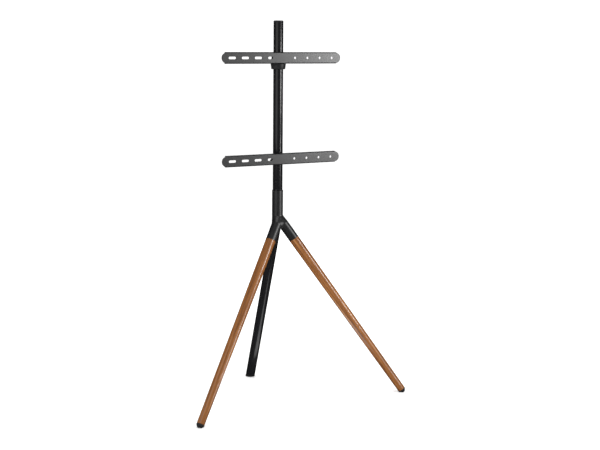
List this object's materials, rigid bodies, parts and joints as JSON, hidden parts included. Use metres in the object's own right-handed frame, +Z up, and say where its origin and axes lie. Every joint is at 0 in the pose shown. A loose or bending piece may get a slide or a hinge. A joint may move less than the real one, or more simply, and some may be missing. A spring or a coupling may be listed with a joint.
{
  "type": "tripod screen stand",
  "caption": "Floor stand for a flat screen: wooden front legs and a black steel rear leg in a cast hub, a swivelling steel pole, and slotted bars that slide on it.",
  "frame": {"origin": "on the floor under the pole's axis, at the centre of the stand's footprint box", "axes": "+Z up along the pole; -Y towards the screen side (front); +X to the right seen from the front, along the screen bars"},
  "size_m": [0.8414, 0.4692, 1.349],
  "materials": {
    "hub_casting": "matt black powder coat on an aluminium die casting",
    "walnut_wood": "satin lacquered walnut-stained solid wood, grain along the leg",
    "black_powder_coat": "satin black powder coat on steel",
    "bar_powder_coat": "fine-textured dark grey powder coat on steel sheet",
    "black_rubber": "matt moulded rubber",
    "black_plastic": "matt moulded plastic",
    "nylon": "plain moulded nylon",
    "black_screw": "black oxide on steel",
    "zinc_steel": "zinc-plated steel"
  },
  "bodies": {
    "base": {"hub_casting": "hub_casting", "left_leg_wood": "walnut_wood", "right_leg_wood": "walnut_wood", "rear_leg_tube": "black_powder_coat", "left_foot": "black_rubber", "right_foot": "black_rubber", "rear_foot": "black_rubber", "upper_swivel_bush": "nylon", "lower_swivel_bush": "nylon", "swivel_thrust_washer": "nylon", "centre_bolt": "zinc_steel", "centre_bolt_washer": "zinc_steel", "swivel_stop_screw": "black_screw", "left_leg_insert": "zinc_steel", "right_leg_insert": "zinc_steel", "left_leg_stud": "zinc_steel", "right_leg_stud": "zinc_steel", "left_foot_screw": "zinc_steel", "right_foot_screw": "zinc_steel", "rear_leg_screw": "black_screw"},
    "pole": {"pole_tube": "black_powder_coat", "pole_spigot": "black_powder_coat", "pole_lock_screw": "black_screw", "pole_top_cap": "black_plastic"},
    "upper_bracket": {"upper_bar": "bar_powder_coat", "upper_clamp": "black_powder_coat", "upper_clamp_liner": "nylon", "upper_pressure_pad": "nylon", "upper_collar": "black_plastic", "left_collar_screw": "black_screw", "right_collar_screw": "black_screw"},
    "lower_bracket": {"lower_bar": "bar_powder_coat", "lower_clamp": "black_powder_coat", "lower_clamp_liner": "nylon", "lower_pressure_pad": "nylon"},
    "upper_clamp_knob": {"upper_knob": "black_plastic", "upper_knob_stud": "black_screw"},
    "lower_clamp_knob": {"lower_knob": "black_plastic", "lower_knob_stud": "black_screw"}
  },
  "joints": [
    {"name": "pole_swivel", "type": "hinge", "parent": "base", "child": "pole", "pos_m": [0, 0, 0.71], "axis": [0, 0, 1], "range_deg": [-20, 20]},
    {"name": "upper_bracket_slide", "type": "slide", "parent": "pole", "child": "upper_bracket", "axis": [0, 0, 1], "range_m": [-0.1, 0.08]},
    {"name": "lower_bracket_slide", "type": "slide", "parent": "pole", "child": "lower_bracket", "axis": [0, 0, 1], "range_m": [-0.045, 0.12]},
    {"name": "upper_knob_turn", "type": "hinge", "parent": "upper_bracket", "child": "upper_clamp_knob", "pos_m": [0.0401, 0, 1.2159], "axis": [1, 0, 0], "range_deg": [0, 720]},
    {"name": "lower_knob_turn", "type": "hinge", "parent": "lower_bracket", "child": "lower_clamp_knob", "pos_m": [0.0401, 0, 0.8613], "axis": [1, 0, 0], "range_deg": [0, 720]}
  ]
}
